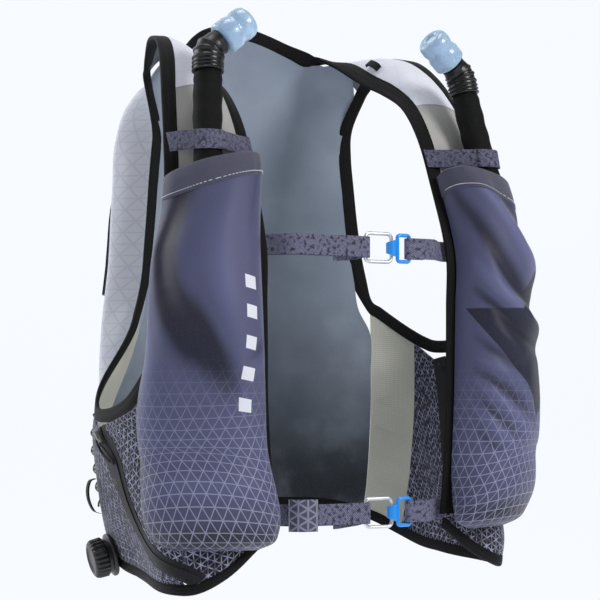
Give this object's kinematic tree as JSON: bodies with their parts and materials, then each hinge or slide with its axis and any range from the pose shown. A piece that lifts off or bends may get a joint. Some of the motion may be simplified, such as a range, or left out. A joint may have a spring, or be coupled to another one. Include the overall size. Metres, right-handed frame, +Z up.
{
  "type": "running hydration vest",
  "caption": "Running vest with a hollow rear bag, mesh strap fronts, flasks with straws in stretch chest pockets, zipped hip pockets, hook straps and a winding dial",
  "frame": {"origin": "between the two shoulder straps, level with the crest of their undersides, where the vest rests on the shoulders", "axes": "+X is the wearer's left, -Y is the front, +Z is up"},
  "size_m": [0.3616, 0.3021, 0.4372],
  "materials": {
    "grey_padding": "smooth padded lining",
    "white_ripstop": "coated ripstop with faint triangle lines",
    "zip_tape": "coil zip on woven tape",
    "black_tape": "folded elastic tape",
    "strap_mesh": "open spacer mesh",
    "slate_knit": "stretch knit with a triangle print",
    "charcoal_knit": "stretch knit with a triangle net print",
    "flask_film": "soft translucent film",
    "blue_plastic": "moulded",
    "black_sleeve": "insulated hose sleeve",
    "black_rubber": "ribbed",
    "clear_silicone": "translucent",
    "webbing": "heather woven webbing",
    "steel": "die cast",
    "lace_cord": "round braided cord",
    "alloy": "anodised",
    "black_plastic": "moulded"
  },
  "bodies": {
    "vest": {"back_panel": "grey_padding", "pack_bag": "white_ripstop", "pack_zip": "zip_tape", "neck_binding": "black_tape", "hem_binding": "black_tape", "yoke_right": "white_ripstop", "yoke_left": "white_ripstop", "chest_panel_right": "strap_mesh", "chest_panel_left": "strap_mesh", "armhole_binding_right": "black_tape", "armhole_binding_left": "black_tape", "flask_pocket_right": "slate_knit", "flask_pocket_left": "slate_knit", "flask_right": "flask_film", "flask_left": "flask_film", "flask_cap_right": "blue_plastic", "flask_cap_left": "blue_plastic", "straw_right": "black_sleeve", "straw_left": "black_sleeve", "elbow_right": "black_rubber", "elbow_left": "black_rubber", "bite_valve_right": "clear_silicone", "bite_valve_left": "clear_silicone", "straw_loop_right": "webbing", "straw_loop_left": "webbing", "hip_front_right": "charcoal_knit", "hip_front_left": "charcoal_knit", "hip_rear_right": "charcoal_knit", "hip_rear_left": "charcoal_knit", "hip_zip_right": "zip_tape", "hip_zip_left": "zip_tape", "zip_slider_right": "steel", "zip_slider_left": "steel", "side_mesh_right": "strap_mesh", "side_mesh_left": "strap_mesh", "lace_right": "lace_cord", "lace_left": "lace_cord", "chest_strap_right": "webbing", "chest_strap_left": "webbing", "chest_ring": "alloy", "chest_hook": "blue_plastic", "waist_strap_right": "webbing", "waist_strap_left": "webbing", "waist_ring": "alloy", "waist_hook": "blue_plastic", "waist_tab": "webbing", "dial_base": "black_plastic", "pole_loop": "black_tape", "shoulder_loop": "black_tape"},
    "dial": {"dial_knob": "black_plastic"}
  },
  "joints": [
    {"name": "dial_turn", "type": "hinge", "parent": "vest", "child": "dial", "pos_m": [-0.1399, 0.02784, -0.37828], "axis": [-0.9571, 0.1663, -0.2372], "continuous": true}
  ]
}
